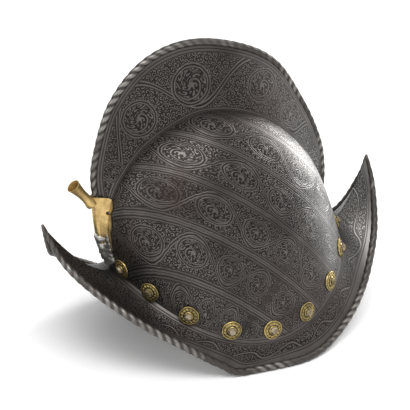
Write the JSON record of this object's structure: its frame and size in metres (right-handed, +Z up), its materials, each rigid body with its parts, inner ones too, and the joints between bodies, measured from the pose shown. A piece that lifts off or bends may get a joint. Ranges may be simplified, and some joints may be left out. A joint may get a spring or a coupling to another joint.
{
  "type": "comb morion helmet",
  "caption": "Steel comb morion with a tall comb, boat-shaped brim with rolled roped edges and peaked ends, brass rosettes round the skull and a brass plume holder at the back.",
  "frame": {"origin": "on the ground, under the middle of the brim's length and width", "axes": "+X towards the front peak, +Y towards the wearer's left, +Z up through the comb"},
  "size_m": [0.3512, 0.2258, 0.2991],
  "materials": {
    "steel": "dark, etched and worn satin",
    "rivet_steel": "worn satin",
    "brass": "aged satin",
    "solder": "dull, lumpy"
  },
  "bodies": {
    "root": {"helmet_shell": "steel", "rosette_01": "brass", "rosette_02": "brass", "rosette_03": "brass", "rosette_04": "brass", "rosette_05": "brass", "rosette_06": "brass", "rosette_07": "brass", "rosette_08": "brass", "rosette_09": "brass", "rosette_10": "brass", "rosette_11": "brass", "rosette_12": "brass", "rosette_13": "brass", "rosette_14": "brass", "rosette_15": "brass", "rosette_16": "brass", "rosette_17": "brass", "rosette_18": "brass", "lining_rivet_01": "rivet_steel", "lining_rivet_02": "rivet_steel", "lining_rivet_03": "rivet_steel", "lining_rivet_04": "rivet_steel", "lining_rivet_05": "rivet_steel", "lining_rivet_06": "rivet_steel", "lining_rivet_07": "rivet_steel", "lining_rivet_08": "rivet_steel", "lining_rivet_09": "rivet_steel", "lining_rivet_10": "rivet_steel", "lining_rivet_11": "rivet_steel", "lining_rivet_12": "rivet_steel", "lining_rivet_13": "rivet_steel", "lining_rivet_14": "rivet_steel", "lining_rivet_15": "rivet_steel", "lining_rivet_16": "rivet_steel", "lining_rivet_17": "rivet_steel", "lining_rivet_18": "rivet_steel", "plume_saddle": "brass", "solder_patch": "solder", "plume_socket": "brass"}
  },
  "joints": []
}
